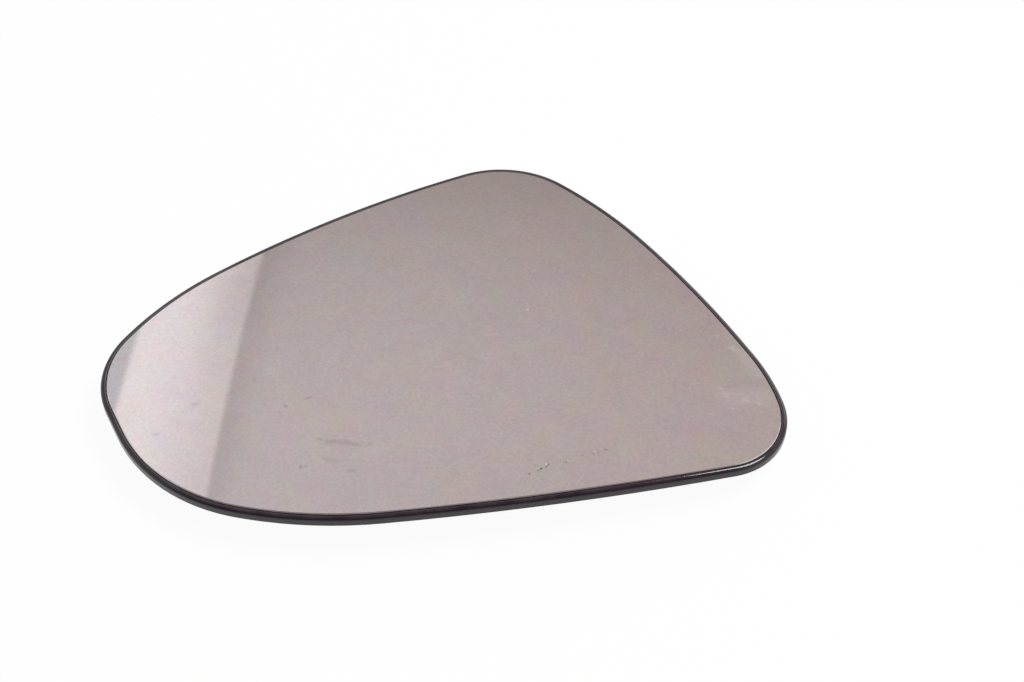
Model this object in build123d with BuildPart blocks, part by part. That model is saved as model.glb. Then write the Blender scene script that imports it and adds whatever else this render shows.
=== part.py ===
"""Car door mirror glass: a convex mirror held by a foam pad in a moulded clip-on holder."""
import os

from build123d import *

# Millimetres. +Z leaves the mirror face, +X runs along the long lower edge and the Z axis is the axis of
# the clip collar. z = 0 is the plane that the part lies on, at the end of the collar.

# Glass outline, counter-clockwise from the left end: x and y of each sharp corner, its rounding radius,
# and how far the side that follows it bulges outwards. It is then sized to glass_width and centred.
outline_corners = [
    (-93.1, 2.7, 25.2, 0.0),
    (-79.6, -43.4, 50.5, 0.0),
    (-39.9, -59.7, 111.4, 3.5),
    (88.5, -58.8, 18.9, 2.9),
    (85.8, -21.0, 61.2, 1.7),
    (57.0, 41.5, 142.8, 0.0),
    (36.6, 65.7, 26.3, 4.1),
    (-71.5, 24.9, 92.8, 0.0),
]
glass_width = 180.0

# Layers, from the reflecting face down. All their faces are parts of concentric domes.
dome_radius = 1260.0
glass_thickness = 2.0
glass_edge_bevel = 0.25
pad_thickness = 0.8
pad_inset = 2.0
plate_thickness = 1.8

# Holder's rim round the glass, whose edge stands a little proud of it.
glass_gap = 0.2
lip_width = 1.45
lip_drop = 0.1
lip_outer_round = 1.1
lip_inner_bevel = 0.2
back_taper = 1.9

# Clip collar: snap fingers with guard walls between them, standing on the back of the plate.
collar_height = 10.0
collar_inner_radius = 32.0
collar_wall = 1.8
finger_count = 8
finger_angle = 20.0
slot_angle = 2.7
finger_setback = 0.6
hook_reach = 1.5
hook_lead_in = 1.4
hook_crest_length = 1.2
hook_tip_flat = 0.7
window_margin = 0.4
seat_radius = 26.0
seat_width = 1.6
seat_depth = 4.0

# Stiffening ribs on the back of the plate.
rib_width = 1.5
rib_depth = 2.6
rib_ring_inset = 13.0
rib_root = 0.3

pad_top_radius = dome_radius - glass_thickness
pocket_floor_radius = pad_top_radius - pad_thickness
plate_back_radius = pocket_floor_radius - plate_thickness
lip_top_radius = dome_radius - lip_drop
dome_centre_z = collar_height - plate_back_radius
hook_crest_radius = collar_inner_radius - hook_reach
collar_outer_radius = collar_inner_radius + collar_wall
hook_start_z = finger_setback + hook_lead_in
hook_end_z = hook_start_z + hook_crest_length
finger_pitch = 360.0 / finger_count
guard_angle = finger_pitch - finger_angle - 2 * slot_angle


def glass_outline():
    """Flat outline of the glass, centred on the origin."""
    with BuildSketch() as drawn:
        with BuildLine():
            for place, (x, y, _, bulge) in enumerate(outline_corners):
                next_x, next_y = outline_corners[(place + 1) % len(outline_corners)][:2]
                if bulge:
                    SagittaArc((next_x, next_y), (x, y), bulge)
                else:
                    Line((x, y), (next_x, next_y))
        make_face()
        for x, y, radius, _ in outline_corners:
            fillet(drawn.vertices().sort_by_distance((x, y))[0], radius=radius)
    box = drawn.sketch.bounding_box()
    with BuildSketch() as centred:
        with Locations((-box.center().X, -box.center().Y)):
            add(drawn.sketch)
        scale(by=glass_width / box.size.X)
    return centred.sketch


def grown(flat, margin):
    """The flat outline moved outwards by the margin on every side, or inwards where it is negative."""
    with BuildSketch() as moved:
        add(flat)
        offset(amount=margin, kind=Kind.ARC)
    return moved.sketch


def domed(flat, top_radius, bottom_radius):
    """What stands over the flat outline between two of the concentric domes."""
    with BuildPart() as layer:
        extrude(flat, amount=2 * (dome_centre_z + top_radius))
        with Locations((0, 0, dome_centre_z)):
            Sphere(top_radius, rotation=(90, 0, 0), mode=Mode.INTERSECT)
            Sphere(bottom_radius, rotation=(90, 0, 0), mode=Mode.SUBTRACT)
    return layer.part


def ring_segment(profile, angle):
    """A profile of (radius, height) points turned about the Z axis, centred on +X."""
    with BuildPart() as segment:
        with BuildSketch(Plane.XZ.rotated((0, 0, -angle / 2))):
            with BuildLine():
                Polyline(*profile, close=True)
            make_face()
        revolve(axis=Axis.Z, revolution_arc=angle)
    return segment.part


outline = glass_outline()

# Mirror glass with a ground edge.
with BuildPart() as mirror_glass:
    add(domed(outline, dome_radius, pad_top_radius))
    glass_faces = mirror_glass.faces().sort_by(Axis.Z)
    chamfer(glass_faces[-1].edges() + glass_faces[0].edges(), length=glass_edge_bevel)
mirror_glass.part.label = "mirror_glass"

# Foam pad that bonds the glass to the holder.
with BuildPart() as adhesive_pad:
    add(domed(grown(outline, -pad_inset), pad_top_radius, pocket_floor_radius))
adhesive_pad.part.label = "adhesive_pad"

# Holder: a domed tray with a rounded lip, ribs and the clip collar.
finger_profile = [
    (collar_outer_radius, finger_setback),
    (collar_outer_radius, collar_height),
    (collar_inner_radius, collar_height),
    (collar_inner_radius, hook_end_z + hook_reach),
    (hook_crest_radius, hook_end_z),
    (hook_crest_radius, hook_start_z),
    (collar_inner_radius - hook_tip_flat, finger_setback),
]
guard_profile = [
    (collar_outer_radius, 0.0),
    (collar_outer_radius, collar_height),
    (collar_inner_radius, collar_height),
    (collar_inner_radius, 0.0),
]
window_profile = [
    (collar_inner_radius, collar_height - plate_thickness),
    (collar_inner_radius, collar_height + 2 * plate_thickness),
    (hook_crest_radius - window_margin, collar_height + 2 * plate_thickness),
    (hook_crest_radius - window_margin, collar_height - plate_thickness),
]
rib_ring = grown(outline, -rib_ring_inset)
with BuildSketch() as ribs:
    with PolarLocations(0, finger_count, start_angle=finger_pitch / 2):
        Rectangle(glass_width, rib_width, align=(Align.MIN, Align.CENTER))
    Circle(collar_inner_radius + collar_wall / 2, mode=Mode.SUBTRACT)
    add(rib_ring, mode=Mode.INTERSECT)
with BuildSketch() as ring_rib:
    add(rib_ring)
    add(grown(rib_ring, -rib_width), mode=Mode.SUBTRACT)

with BuildPart() as backing_plate:
    add(domed(grown(outline, glass_gap + lip_width), lip_top_radius, plate_back_radius))
    tray_faces = backing_plate.faces().sort_by(Axis.Z)
    fillet(tray_faces[-1].edges(), radius=lip_outer_round)
    chamfer(backing_plate.faces().sort_by(Axis.Z)[0].edges(), length=back_taper)
    pocket = domed(grown(outline, glass_gap), lip_top_radius + lip_width, pocket_floor_radius)
    add(pocket, mode=Mode.SUBTRACT)
    lip_top = backing_plate.faces().sort_by(Axis.Z)[-1]
    chamfer(lip_top.inner_wires().edges(), length=lip_inner_bevel)
    for rib_outline in (ribs.sketch, ring_rib.sketch):
        add(domed(rib_outline, plate_back_radius + rib_root, plate_back_radius - rib_depth))
    with PolarLocations(0, finger_count, start_angle=finger_pitch / 2):
        add(ring_segment(guard_profile, guard_angle))
    with PolarLocations(0, finger_count):
        add(ring_segment(finger_profile, finger_angle))
        add(ring_segment(window_profile, finger_angle), mode=Mode.SUBTRACT)
    with BuildSketch(Plane.XY.offset(collar_height - seat_depth)):
        Circle(seat_radius + seat_width / 2)
        Circle(seat_radius - seat_width / 2, mode=Mode.SUBTRACT)
    extrude(amount=seat_depth)
backing_plate.part.label = "backing_plate"

os.makedirs("parts", exist_ok=True)
export_step(mirror_glass.part, "parts/mirror_glass.step")
export_step(adhesive_pad.part, "parts/adhesive_pad.step")
export_step(backing_plate.part, "parts/backing_plate.step")
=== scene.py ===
"""Looks of the car door mirror glass: mirror, foam pad and black holder on a white floor."""
import math

import bpy
import numpy as np
from mathutils import Matrix, Vector
from mathutils.geometry import convex_hull_2d
from mathutils.kdtree import KDTree


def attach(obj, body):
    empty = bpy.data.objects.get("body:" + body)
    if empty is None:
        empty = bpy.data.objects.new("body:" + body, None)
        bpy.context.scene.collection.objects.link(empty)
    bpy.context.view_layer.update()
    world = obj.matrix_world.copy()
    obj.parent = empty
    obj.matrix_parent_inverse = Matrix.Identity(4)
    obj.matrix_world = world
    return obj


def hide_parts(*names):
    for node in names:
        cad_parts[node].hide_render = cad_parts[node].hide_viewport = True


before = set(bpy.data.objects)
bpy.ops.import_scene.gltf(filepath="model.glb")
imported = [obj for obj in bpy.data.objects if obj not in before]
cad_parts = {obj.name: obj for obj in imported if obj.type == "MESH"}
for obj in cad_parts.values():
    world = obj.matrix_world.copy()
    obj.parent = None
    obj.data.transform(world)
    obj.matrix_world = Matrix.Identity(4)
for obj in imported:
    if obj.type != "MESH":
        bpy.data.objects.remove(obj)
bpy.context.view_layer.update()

# Lengths are in metres and angles in degrees, where no other unit is named. Colours are linear.
MILLIMETRE = 0.001

# Camera, fitted to the photo. The sensor is in millimetres, and the focal length in the photo's pixels.
CAMERA_AIM = Vector((0.02188, -0.00915, 0.01455))
CAMERA_DISTANCE = 0.5546
CAMERA_AZIMUTH = -10.0
CAMERA_ELEVATION = 47.0
CAMERA_SENSOR = 36.0
CAMERA_CLIP_START = 0.01
FOCAL_PIXELS = 2000.0
PHOTO_WIDTH_PIXELS = 1024.0

# Dome of the mirror and the height of its top, dome and rounding of the holder's lip, as in the solid part.
DOME_RADIUS = 1.26
DOME_TOP = 0.0146
DOME_CENTRE_Z = DOME_TOP - DOME_RADIUS
LIP_RADIUS = 1.2599
LIP_ROUND = 0.0011

# How far off such a surface a point of its mesh may lie, the least distance between the points that the
# rim's curve goes through, and the number of places on the curve from one of these points to the next.
NEAR_ENOUGH = 0.000006
RIM_POINTS_APART = 0.00005
RIM_STEPS = 24

# Marks on the mirror: start, end and radius in millimetres, and strength.
DARK_MARKS = [
    ((-34.7, -34.5), (-32.4, -35.7), 1.10, 0.11),
    ((-32.4, -35.7), (-27.5, -37.0), 1.35, 0.18),
    ((-27.5, -37.1), (-25.2, -38.1), 1.20, 0.17),
    ((-25.0, -38.4), (-21.3, -38.9), 1.20, 0.08),
    ((-34.3, -41.0), (-31.1, -42.7), 1.25, 0.12),
    ((-30.8, -42.6), (-28.2, -42.7), 0.65, 0.05),
    ((-28.2, -46.5), (-26.6, -46.9), 1.00, 0.14),
    ((-40.5, -42.6), (-40.4, -42.8), 0.65, 0.34),
    ((-39.9, -43.2), (-38.8, -42.8), 0.90, 0.13),
    ((18.2, -55.6), (18.3, -55.6), 0.48, 0.53),
    ((20.7, -54.9), (20.8, -54.9), 0.45, 0.42),
    ((21.6, -54.4), (21.8, -54.3), 0.50, 0.70),
    ((22.9, -54.2), (23.9, -53.3), 0.35, 0.52),
    ((28.6, -53.2), (28.7, -53.2), 0.45, 0.45),
    ((33.2, -51.7), (33.3, -51.7), 0.42, 0.28),
    ((36.2, -51.6), (36.3, -51.6), 0.45, 0.30),
    ((37.6, -51.4), (37.7, -51.4), 0.42, 0.30),
    ((39.6, -50.7), (39.8, -50.7), 0.50, 0.38),
    ((20.4, -53.2), (20.5, -53.1), 0.55, 0.20),
    ((-66.9, -15.7), (-65.5, -15.6), 1.05, 0.17),
    ((-77.5, -23.8), (-77.0, -23.8), 0.90, 0.19),
    ((-42.4, -21.3), (-42.2, -21.5), 0.70, 0.26),
    ((-36.6, -19.9), (-35.2, -19.7), 0.60, 0.22),
]
PALE_MARKS = [
    ((23.2, -53.1), (23.3, -53.1), 0.50, 0.95),
    ((29.1, -52.9), (29.2, -52.9), 0.42, 0.55),
    ((36.6, -50.9), (36.8, -50.8), 0.48, 0.52),
    ((38.5, -50.3), (38.6, -50.3), 0.48, 0.40),
    ((28.3, 2.3), (28.4, 2.3), 0.55, 1.00),
    ((80.8, -38.6), (81.7, -39.2), 1.15, 0.50),
    ((81.7, -39.2), (84.1, -40.3), 0.70, 0.30),
    ((84.1, -40.3), (84.8, -40.6), 0.90, 0.48),
    ((76.9, -41.4), (77.0, -41.4), 0.50, 0.72),
    ((75.8, -36.0), (76.7, -36.8), 1.25, 0.42),
    ((79.6, -36.7), (79.8, -36.9), 1.10, 0.36),
    ((75.0, -33.7), (75.7, -34.2), 1.05, 0.34),
    ((82.2, -19.8), (82.6, -20.4), 1.60, 0.50),
    ((79.0, -14.6), (79.3, -14.8), 0.85, 0.40),
    ((77.0, -37.0), (86.0, -38.0), 4.60, 0.22),
    ((87.0, -30.0), (84.0, -22.0), 3.20, 0.26),
]

# Finishes: the silvering, with a film whose tint is a middle grey, the holder's plastic and the dust on it,
# the dust and painted sheen on its lip's top, and painted light on its edge beside the glass.
SILVER = (0.758, 0.683, 0.6945)
FILM_GREY = 0.5
PLASTIC_DARK = (0.012, 0.004, 0.010, 1.0)
PLASTIC_PALE = (0.018, 0.008, 0.015, 1.0)
# Lip dust colour, which is also a painted sheen: it lightens the lip's upward faces, where they would
# reflect the room.
LIP_DUST_AND_SHEEN = (0.075, 0.066, 0.070, 1.0)
# Painted light: a paler colour on the lip's inner edge beside the glass, which lightens the narrow gap that
# lies in shade.
GAP_PAINTED_LIGHT = (0.125, 0.115, 0.115, 1.0)

# Floor: its size, how far it lies under the part, and how much of its white is its own and not lit.
FLOOR_SIZE = 8.0
FLOOR_DROP = 0.0001
FLOOR_OWN_WHITE = 0.95

# Room round the part: its colours by height, from 0 at the horizon to 1 overhead, what they are multiplied
# by towards the left and the right, the dark front, and the brighter right with its window.
ROOM_COLOURS = [
    (0.46, (1.00, 1.00, 1.00)),
    (0.53, (0.70, 0.69, 0.68)),
    (0.57, (0.42, 0.392, 0.376)),
    (0.60, (0.445, 0.418, 0.398)),
    (0.65, (0.515, 0.486, 0.465)),
    (0.70, (0.568, 0.536, 0.517)),
    (0.75, (0.603, 0.569, 0.552)),
    (0.80, (0.620, 0.586, 0.571)),
    (0.87, (0.600, 0.568, 0.556)),
    (1.00, (0.380, 0.345, 0.355)),
]
ROOM_TO_LEFT = (1.15, 1.22, 1.25, 1.0)
ROOM_TO_RIGHT = (0.845, 0.782, 0.76, 1.0)
ROOM_FRONT = (0.27, 0.23, 0.26, 1.0)
ROOM_RIGHT_GREY = 0.75
WINDOW_DIRECTION = (0.62, 0.66, 0.42)
WINDOW_GREY = 2.3

# Bright panel at the left of the room, with a darker strip at its left. Each edge is given by the normal of
# the plane through it and the part.
PANEL_RIGHT_EDGE = (0.9481, -0.1723, 0.2671)
PANEL_LEFT_EDGE = (0.9189, -0.1526, 0.3638)
PANEL_TINT = (1.0, 0.995, 1.0, 1.0)
PANEL_TINT_AT_RIGHT = (1.0, 0.972, 0.95, 1.0)
STRIP_SHADE = (0.652, 0.676, 0.678, 1.0)

# Lamp: its place, the direction of its length, its size and its power in watts.
LAMP_PLACE = (0.994, 0.037, 1.782)
LAMP_LENGTHWISE = Vector((0.369, -0.918, -0.146))
LAMP_WIDTH = 0.66
LAMP_LENGTH = 1.0
LAMP_POWER = 26.0


class Nodes:
    """Short ways to add and join the nodes of one tree."""

    def __init__(self, tree):
        self.tree = tree

    def put(self, socket, value):
        """Links an output to the socket, or sets the socket's own value."""
        if isinstance(value, bpy.types.NodeSocket):
            self.tree.links.new(value, socket)
        else:
            socket.default_value = value

    def fill(self, node, inputs):
        """Puts values into the inputs of these names, with _ for a space."""
        for name, value in inputs.items():
            self.put(node.inputs[name.replace("_", " ")], value)
        return node

    def add(self, kind, **inputs):
        return self.fill(self.tree.nodes.new(kind), inputs)

    def place(self, group, **inputs):
        """A node group, placed in this tree."""
        node = self.tree.nodes.new("ShaderNodeGroup")
        node.node_tree = group
        return self.fill(node, inputs)

    def operate(self, kind, operation, values):
        node = self.tree.nodes.new(kind)
        node.operation = operation
        for socket, value in zip(node.inputs, values):
            self.put(socket, value)
        return node

    def math(self, operation, *values):
        return self.operate("ShaderNodeMath", operation, values).outputs[0]

    def vector(self, operation, *values):
        return self.operate("ShaderNodeVectorMath", operation, values).outputs["Vector"]

    def measure(self, operation, *values):
        """A vector operation that gives one number."""
        return self.operate("ShaderNodeVectorMath", operation, values).outputs["Value"]

    def ramp(self, value, between, to=(0.0, 1.0), smooth=True):
        """The value carried from one range to another, and held past its ends."""
        node = self.add("ShaderNodeMapRange", Value=value)
        node.interpolation_type = "SMOOTHSTEP" if smooth else "LINEAR"
        for name, end in zip(("From Min", "From Max", "To Min", "To Max"), (*between, *to)):
            node.inputs[name].default_value = end
        return node.outputs["Result"]

    def mix(self, amount, first, second, blend="MIX"):
        """Two colours mixed. The Mix node has sockets for other kinds of value before those for colours."""
        node = self.tree.nodes.new("ShaderNodeMix")
        node.data_type = "RGBA"
        node.blend_type = blend
        self.put(node.inputs[0], amount)
        self.put(node.inputs[6], first)
        self.put(node.inputs[7], second)
        return node.outputs[2]

    def multiply(self, first, second):
        """Two colours multiplied."""
        return self.mix(1.0, first, second, "MULTIPLY")

    def noise(self, position, scale, detail=2.0, roughness=0.5):
        node = self.add("ShaderNodeTexNoise", Vector=position, Scale=scale)
        return self.fill(node, {"Detail": detail, "Roughness": roughness}).outputs[0]


def grey(value):
    return (value, value, value, 1.0)


def new_group(name, inputs, outputs):
    """An empty node group with sockets of these names and kinds, its helper and its two end nodes."""
    tree = bpy.data.node_groups.new(name, "ShaderNodeTree")
    for way, sockets in (("INPUT", inputs), ("OUTPUT", outputs)):
        for label, kind in sockets.items():
            tree.interface.new_socket(label, in_out=way, socket_type="NodeSocket" + kind)
    return tree, Nodes(tree), tree.nodes.new("NodeGroupInput"), tree.nodes.new("NodeGroupOutput")


def mark_group():
    """How much of a mark covers a point: a run from a start point, with a soft uneven edge."""
    tree, nodes, given, result = new_group(
        "mark",
        {"Position": "Vector", "Start": "Vector", "Run": "Vector", "Radius": "Float", "Strength": "Float"},
        {"Cover": "Float"},
    )
    run = given.outputs["Run"]
    away = nodes.vector("SUBTRACT", given.outputs["Position"], given.outputs["Start"])
    along = nodes.measure("DOT_PRODUCT", away, run)
    whole = nodes.measure("DOT_PRODUCT", run, run)
    share = nodes.ramp(nodes.math("DIVIDE", along, whole), (0.0, 1.0), smooth=False)
    off = nodes.measure("DISTANCE", away, nodes.vector("MULTIPLY", run, share))
    uneven = nodes.noise(given.outputs["Position"], scale=2600.0)
    ragged = nodes.ramp(uneven, (0.3, 0.7), to=(-0.25, 0.35), smooth=False)
    near = nodes.math("ADD", nodes.math("DIVIDE", off, given.outputs["Radius"]), ragged)
    cover = nodes.ramp(near, (0.2, 1.0), to=(1.0, 0.0))
    nodes.put(result.inputs["Cover"], nodes.math("MULTIPLY", cover, given.outputs["Strength"]))
    return tree


def film_group():
    """Thin uneven film: clouds and dust specks from 0 to 1, and a faint colour tint."""
    tree, nodes, given, result = new_group(
        "film",
        {"Position": "Vector", "Cloud Scale": "Float", "Dust Scale": "Float", "Dust Amount": "Float"},
        {"Cloud": "Float", "Dust": "Float", "Tint": "Color"},
    )
    position = given.outputs["Position"]
    cloud = nodes.add("ShaderNodeTexNoise", Vector=position, Scale=given.outputs["Cloud Scale"])
    nodes.fill(cloud, {"Detail": 6.0, "Roughness": 0.72})
    nodes.put(result.inputs["Cloud"], nodes.ramp(cloud.outputs[0], (0.3, 0.7)))
    nodes.put(result.inputs["Tint"], nodes.mix(0.86, cloud.outputs["Color"], grey(FILM_GREY)))
    cells = nodes.add("ShaderNodeTexVoronoi", Vector=position, Scale=given.outputs["Dust Scale"])
    chance = nodes.add("ShaderNodeTexWhiteNoise", Vector=cells.outputs["Position"])
    chosen = nodes.math("LESS_THAN", chance.outputs["Value"], given.outputs["Dust Amount"])
    speck = nodes.ramp(cells.outputs["Distance"], (0.10, 0.28), to=(1.0, 0.0))
    nodes.put(result.inputs["Dust"], nodes.math("MULTIPLY", speck, chosen))
    return tree


def new_material(name):
    """A material, its helper and its shader."""
    material = bpy.data.materials.new(name)
    material.use_nodes = True
    return material, Nodes(material.node_tree), material.node_tree.nodes["Principled BSDF"]


def marks_cover(nodes, mark, position, marks):
    """Greatest cover of these marks at a point."""
    flat = nodes.vector("MULTIPLY", position, (1.0, 1.0, 0.0))
    total = 0.0
    for start, end, radius, strength in marks:
        first = Vector((*start, 0.0)) * MILLIMETRE
        last = Vector((*end, 0.0)) * MILLIMETRE
        one = nodes.place(mark, Position=flat, Start=first, Run=last - first)
        nodes.fill(one, {"Radius": radius * MILLIMETRE, "Strength": strength})
        total = nodes.math("MAXIMUM", total, one.outputs["Cover"])
    return total


def mirror_material(film, mark):
    """Silvered glass with a faint film, fine grain, dust and marks."""
    material, nodes, shader = new_material("mirror")
    position = nodes.add("ShaderNodeTexCoord").outputs["Object"]
    haze = nodes.place(film, Position=position, Cloud_Scale=110.0, Dust_Scale=420.0, Dust_Amount=0.05)
    grain = nodes.noise(position, scale=1000.0, detail=3.0, roughness=0.8)
    under_film = (*(channel / FILM_GREY for channel in SILVER), 1.0)
    colour = nodes.multiply(under_film, haze.outputs["Tint"])
    colour = nodes.multiply(colour, nodes.ramp(grain, (0.25, 0.75), to=(0.895, 1.105), smooth=False))
    colour = nodes.mix(nodes.math("MULTIPLY", haze.outputs["Dust"], 0.12), colour, grey(0.95))
    colour = nodes.mix(marks_cover(nodes, mark, position, DARK_MARKS), colour, grey(0.10))
    colour = nodes.mix(marks_cover(nodes, mark, position, PALE_MARKS), colour, grey(1.0))
    gloss = nodes.ramp(haze.outputs["Cloud"], (0.0, 1.0), to=(0.015, 0.03), smooth=False)
    nodes.fill(shader, {"Base Color": colour, "Roughness": gloss, "Metallic": 1.0})
    return material


def holder_material(film):
    """Black plastic, glossy with a satin back, with dust on it, dust and a painted sheen on the lip's top,
    and painted light on the lip's edge beside the glass.
    """
    material, nodes, shader = new_material("holder")
    coordinates = nodes.add("ShaderNodeTexCoord").outputs
    position = coordinates["Object"]
    normal = coordinates["Normal"]
    worn = nodes.place(film, Position=position, Cloud_Scale=140.0, Dust_Scale=900.0, Dust_Amount=0.05)
    upward = nodes.add("ShaderNodeSeparateXYZ", Vector=normal).outputs["Z"]
    outward = nodes.measure("DOT_PRODUCT", normal, position)
    # Upward faces are lightened: partly settled dust, partly a painted sheen that stands in for the
    # reflection on the lip's top.
    dust_and_sheen_on_top = nodes.math("MULTIPLY", nodes.ramp(upward, (0.55, 0.98), to=(0.0, 0.4)), worn.outputs["Cloud"])
    # Painted light on the lip's inner edge, which faces the glass, to lighten the shaded gap.
    facing_glass = nodes.ramp(outward, (-0.035, -0.01), to=(0.9, 0.0))
    painted_gap_light = nodes.math("MULTIPLY", facing_glass, nodes.ramp(upward, (0.4, 0.65)))
    colour = nodes.mix(worn.outputs["Cloud"], PLASTIC_DARK, PLASTIC_PALE)
    colour = nodes.mix(dust_and_sheen_on_top, colour, LIP_DUST_AND_SHEEN)
    colour = nodes.mix(painted_gap_light, colour, GAP_PAINTED_LIGHT)
    colour = nodes.mix(nodes.math("MULTIPLY", worn.outputs["Dust"], 0.10), colour, grey(0.30))
    gloss = nodes.ramp(worn.outputs["Cloud"], (0.0, 1.0), to=(0.06, 0.09), smooth=False)
    satin_back = nodes.ramp(upward, (-0.97, -0.85), to=(0.30, 0.0))
    roughness = nodes.math("ADD", gloss, satin_back)
    grain = nodes.noise(position, scale=5200.0)
    bump = nodes.add("ShaderNodeBump", Strength=0.03, Distance=0.00003, Height=grain).outputs["Normal"]
    nodes.fill(shader, {"Base Color": colour, "Roughness": roughness, "Normal": bump})
    return material


def foam_material(film):
    """Dark closed-cell foam."""
    material, nodes, shader = new_material("foam")
    position = nodes.add("ShaderNodeTexCoord").outputs["Object"]
    tone = nodes.place(film, Position=position, Cloud_Scale=220.0, Dust_Scale=1600.0, Dust_Amount=0.30)
    cells = tone.outputs["Dust"]
    colour = nodes.mix(tone.outputs["Cloud"], grey(0.045), grey(0.075))
    colour = nodes.mix(nodes.math("MULTIPLY", cells, 0.6), colour, grey(0.02))
    bump = nodes.add("ShaderNodeBump", Strength=0.6, Distance=0.0001, Height=cells).outputs["Normal"]
    nodes.fill(shader, {"Base Color": colour, "Roughness": 0.9, "Normal": bump})
    return material


def mix_shaders(nodes, amount, first, second):
    node = nodes.add("ShaderNodeMixShader", Fac=amount)
    nodes.put(node.inputs[1], first.outputs[0])
    nodes.put(node.inputs[2], second.outputs[0])
    return node


def floor_material():
    """White floor: mostly white to the camera and to reflections, with the shadow still on it, and clear
    from below, so that the back of the holder can be seen."""
    material, nodes, shader = new_material("floor")
    nodes.fill(shader, {"Base Color": grey(0.85), "Roughness": 0.9, "Specular IOR Level": 0.0})
    path = nodes.add("ShaderNodeLightPath")
    seen = nodes.math("MAXIMUM", path.outputs["Is Camera Ray"], path.outputs["Is Glossy Ray"])
    white = nodes.add("ShaderNodeEmission", Color=grey(1.0), Strength=1.0)
    top = mix_shaders(nodes, nodes.math("MULTIPLY", seen, FLOOR_OWN_WHITE), shader, white)
    from_below = nodes.add("ShaderNodeNewGeometry").outputs["Backfacing"]
    both_sides = mix_shaders(nodes, from_below, top, nodes.add("ShaderNodeBsdfTransparent"))
    nodes.put(material.node_tree.nodes["Material Output"].inputs["Surface"], both_sides.outputs[0])
    return material


def room_light(nodes, direction, side, depth, height):
    """Soft grey room, white low down, dark in front and brighter at the right, where it has a window."""
    room = nodes.add("ShaderNodeValToRGB", Fac=height)
    elements = room.color_ramp.elements
    while len(elements) < len(ROOM_COLOURS):
        elements.new(0.5)
    for element, (place, colour) in zip(elements, ROOM_COLOURS):
        element.position = place
        element.color = (*colour, 1.0)
    fade = nodes.mix(nodes.ramp(side, (-0.5, 0.5), smooth=False), ROOM_TO_LEFT, ROOM_TO_RIGHT)
    light = nodes.multiply(room.outputs["Color"], fade)
    light = nodes.mix(nodes.ramp(depth, (-0.5, 0.4), to=(1.0, 0.0)), light, ROOM_FRONT)
    light = nodes.mix(nodes.ramp(side, (0.29, 0.65)), light, grey(ROOM_RIGHT_GREY))
    near_window = nodes.measure("DOT_PRODUCT", direction, WINDOW_DIRECTION)
    return nodes.mix(nodes.ramp(near_window, (0.935, 0.970)), light, grey(WINDOW_GREY))


def panel_light(nodes, light, direction, depth, height):
    """The light with the panel in it. The panel dims towards its right edge, most of all low down, a darker
    strip lies past its left edge, and the room is a little dimmer beside its right edge."""
    right_edge = nodes.measure("DOT_PRODUCT", direction, PANEL_RIGHT_EDGE)
    left_edge = nodes.measure("DOT_PRODUCT", direction, PANEL_LEFT_EDGE)
    light = nodes.multiply(light, nodes.ramp(right_edge, (0.0, 0.035), to=(0.87, 1.0)))
    tint = nodes.mix(nodes.ramp(right_edge, (-0.06, 0.0)), PANEL_TINT, PANEL_TINT_AT_RIGHT)
    low_down = nodes.ramp(height, (0.66, 0.76), to=(0.12, 0.0))
    low_at_right = nodes.math("MULTIPLY", low_down, nodes.ramp(right_edge, (-0.05, 0.0)))
    tone = nodes.math("SUBTRACT", nodes.ramp(right_edge, (-0.078, 0.01), to=(0.99, 0.76)), low_at_right)
    strip = nodes.mix(nodes.ramp(left_edge, (-0.0035, 0.0035)), STRIP_SHADE, grey(1.0))
    panel = nodes.multiply(nodes.multiply(tint, tone), strip)
    left_of_edge = nodes.ramp(right_edge, (-0.003, 0.003), to=(1.0, 0.0))
    in_panel = nodes.math("MULTIPLY", left_of_edge, nodes.ramp(depth, (0.10, 0.30)))
    return nodes.mix(in_panel, light, panel)


def add_world():
    """Studio that the mirror and the rim show. The camera itself sees it as white."""
    world = bpy.data.worlds.new("studio")
    bpy.context.scene.world = world
    world.use_nodes = True
    nodes = Nodes(world.node_tree)
    direction = nodes.vector("NORMALIZE", nodes.add("ShaderNodeTexCoord").outputs["Generated"])
    side, depth, height = nodes.add("ShaderNodeSeparateXYZ", Vector=direction).outputs
    light = room_light(nodes, direction, side, depth, height)
    light = panel_light(nodes, light, direction, depth, height)
    seen = nodes.add("ShaderNodeLightPath").outputs["Is Camera Ray"]
    background = world.node_tree.nodes["Background"]
    nodes.put(background.inputs["Color"], nodes.mix(seen, light, grey(1.0)))


def add_lamp():
    """One long soft lamp overhead, towards the right, which gives the lower right corner its highlight."""
    data = bpy.data.lights.new("soft_lamp", "AREA")
    data.shape = "ELLIPSE"
    data.size = LAMP_WIDTH
    data.size_y = LAMP_LENGTH
    data.energy = LAMP_POWER
    lamp = bpy.data.objects.new("soft_lamp", data)
    bpy.context.scene.collection.objects.link(lamp)
    lamp.location = LAMP_PLACE
    away = lamp.location.normalized()
    across = LAMP_LENGTHWISE.cross(away).normalized()
    lamp.rotation_euler = Matrix((across, away.cross(across), away)).transposed().to_euler()


def points_of(mesh):
    return np.array([vertex.co for vertex in mesh.vertices])


def unit(rows):
    return rows / np.linalg.norm(rows, axis=1, keepdims=True)


def wrapped(angles):
    """The same angles, in radians, between minus and plus half a turn."""
    return (angles + math.pi) % (2.0 * math.pi) - math.pi


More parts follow.
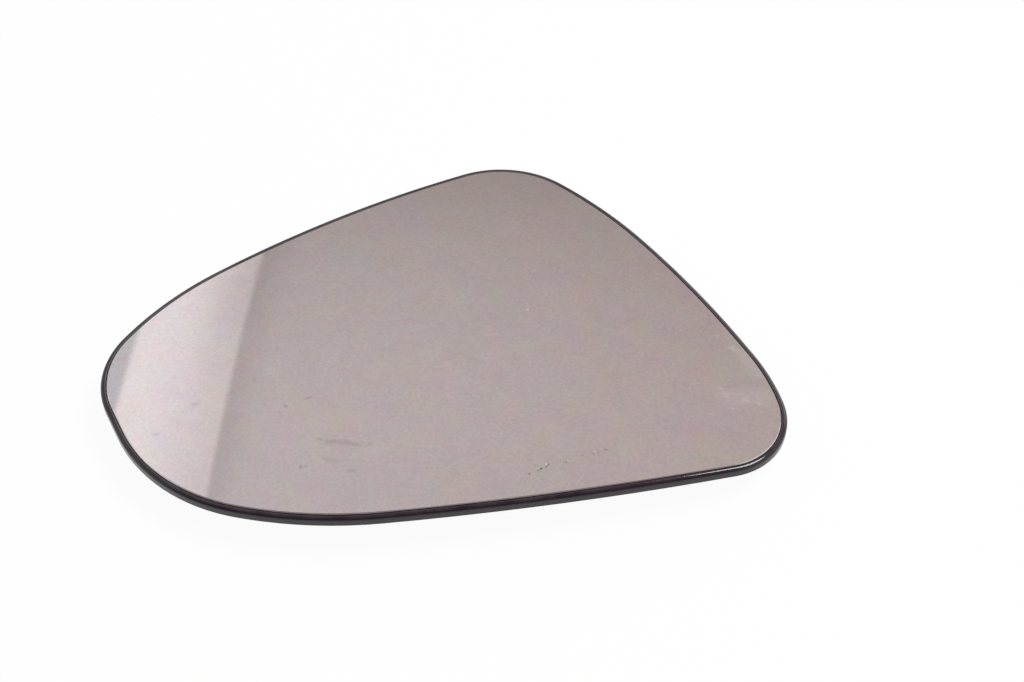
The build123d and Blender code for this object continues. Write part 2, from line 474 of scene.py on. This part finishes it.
def loop_angles(points):
    """Angles, in radians, of a closed chain of arcs and lines at its points, which include all the joins.

    Chords that lie on one arc give its angles, but a point doesn't tell which of its chords do. So there
    are five pairs of guesses at each point, and the pair that agrees best is taken."""
    step = np.roll(points, -1, axis=0) - points
    length = np.linalg.norm(step, axis=1)
    chord = np.arctan2(step[:, 1], step[:, 0])
    last_length = np.roll(length, 1)
    last_chord = np.roll(chord, 1)
    bend = 2.0 * wrapped(chord - last_chord) / (length + last_length)
    across = chord - bend * length / 2.0
    ahead = chord - np.roll(bend, -1) * length / 2.0
    behind = last_chord + np.roll(bend, 1) * last_length / 2.0
    beyond_next = 2.0 * chord - np.roll(ahead, -1)
    beyond_last = 2.0 * last_chord - np.roll(behind, 1)
    first = np.stack([across, across, ahead, behind, ahead])
    second = np.stack([ahead, behind, behind, beyond_next, beyond_last])
    apart = wrapped(second - first)
    closest = np.abs(apart).argmin(axis=0)
    return (first + apart / 2.0)[closest, np.arange(len(points))]


def smooth_loop(points):
    """Places on a smooth closed curve through the points, and its directions there."""
    step = np.roll(points, -1, axis=0) - points
    length = np.linalg.norm(step, axis=1, keepdims=True)
    angles = loop_angles(points)
    heading = np.column_stack([np.cos(angles), np.sin(angles)])
    step = step[:, None]
    leave = (heading * length)[:, None]
    arrive = (np.roll(heading, -1, axis=0) * length)[:, None]
    t = np.linspace(0.0, 1.0, RIM_STEPS, endpoint=False)[None, :, None]
    bulge = t * (1 - t) ** 2 * leave - t * t * (1 - t) * arrive
    curve = points[:, None] + t * t * (3 - 2 * t) * step + bulge
    along = 6 * t * (1 - t) * step + (1 - t) * (1 - 3 * t) * leave + t * (3 * t - 2) * arrive
    return curve.reshape(-1, 2), unit(along.reshape(-1, 2))


def nearest(places, points):
    """For each point, which of the places is the nearest."""
    tree = KDTree(len(places))
    for index, place in enumerate(places):
        tree.insert(place, index)
    tree.balance()
    return np.array([tree.find(point)[1] for point in points])


def dome_surface(mesh, radius):
    """Which points of the mesh lie on a dome, and its normals there."""
    arms = points_of(mesh) - (0.0, 0.0, DOME_CENTRE_Z)
    off = np.linalg.norm(arms, axis=1) - radius
    return np.abs(off) < NEAR_ENOUGH, unit(arms)


def rim_surfaces(mesh):
    """The same for the rounding of the holder's lip and for its outer wall. The rounding is what a ball
    touches that rolls along the inside of the rim, so its normals leave the ball's path."""
    points = points_of(mesh)
    corners = points[convex_hull_2d(points[:, :2].tolist()), :2]
    apart = np.linalg.norm(corners - np.roll(corners, 1, axis=0), axis=1) > RIM_POINTS_APART
    edge, along = smooth_loop(corners[apart])
    outward = np.column_stack([along[:, 1], -along[:, 0]])

    wall = nearest(np.pad(edge, ((0, 0), (0, 1))), points * (1.0, 1.0, 0.0))
    off_wall = ((points[:, :2] - edge[wall]) * outward[wall]).sum(axis=1)
    on_wall = np.abs(off_wall) < NEAR_ENOUGH
    wall_normals = np.pad(outward[wall], ((0, 0), (0, 1)))

    path = edge - LIP_ROUND * outward
    rise = np.sqrt((LIP_RADIUS - LIP_ROUND) ** 2 - (path ** 2).sum(axis=1))
    heading = unit(np.column_stack([along, -(path * along).sum(axis=1) / rise]))
    path = np.column_stack([path, rise + DOME_CENTRE_Z])
    ball = nearest(path, points)
    arms = points - path[ball]
    arms -= (arms * heading[ball]).sum(axis=1, keepdims=True) * heading[ball]
    on_rounding = np.abs(np.linalg.norm(arms, axis=1) - LIP_ROUND) < NEAR_ENOUGH
    return [(on_rounding, unit(arms)), (on_wall, wall_normals)]


def add_polished(node, name, material, surfaces):
    """A copy of a node with the true normals of these surfaces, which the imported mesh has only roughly."""
    piece = bpy.data.objects.new(name, node.data.copy())
    bpy.context.scene.collection.objects.link(piece)
    mesh = piece.data
    mesh.materials.clear()
    mesh.materials.append(material)
    normals = [corner.vector.copy() for corner in mesh.corner_normals]
    for face in mesh.polygons:
        for on_surface, directions in surfaces:
            if all(on_surface[point] for point in face.vertices):
                for loop, point in zip(face.loop_indices, face.vertices):
                    normals[loop] = directions[point]
                break
    mesh.normals_split_custom_set(normals)
    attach(piece, "root")
    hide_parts(node.name)


def add_floor():
    bpy.ops.mesh.primitive_plane_add(size=FLOOR_SIZE, location=(0.0, 0.0, -FLOOR_DROP))
    floor = bpy.context.object
    floor.name = "floor"
    floor.data.materials.append(floor_material())


def add_camera():
    azimuth = math.radians(CAMERA_AZIMUTH)
    elevation = math.radians(CAMERA_ELEVATION)
    back = Vector((
        math.sin(azimuth) * math.cos(elevation),
        -math.cos(azimuth) * math.cos(elevation),
        math.sin(elevation),
    ))
    data = bpy.data.cameras.new("camera")
    data.sensor_width = CAMERA_SENSOR
    data.lens = CAMERA_SENSOR * FOCAL_PIXELS / PHOTO_WIDTH_PIXELS
    data.clip_start = CAMERA_CLIP_START
    camera = bpy.data.objects.new("camera", data)
    bpy.context.scene.collection.objects.link(camera)
    camera.location = CAMERA_AIM + CAMERA_DISTANCE * back
    camera.rotation_euler = back.to_track_quat("Z", "Y").to_euler()
    bpy.context.scene.camera = camera


film = film_group()
mark = mark_group()

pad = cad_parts["adhesive_pad"]
pad.data.materials.clear()
pad.data.materials.append(foam_material(film))

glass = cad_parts["mirror_glass"]
dome = [dome_surface(glass.data, DOME_RADIUS)]
add_polished(glass, "polished_glass", mirror_material(film, mark), dome)

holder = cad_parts["backing_plate"]
rim = [dome_surface(holder.data, LIP_RADIUS)] + rim_surfaces(holder.data)
add_polished(holder, "polished_holder", holder_material(film), rim)

add_floor()
add_world()
add_lamp()
add_camera()
bpy.context.scene.view_settings.view_transform = "Standard"
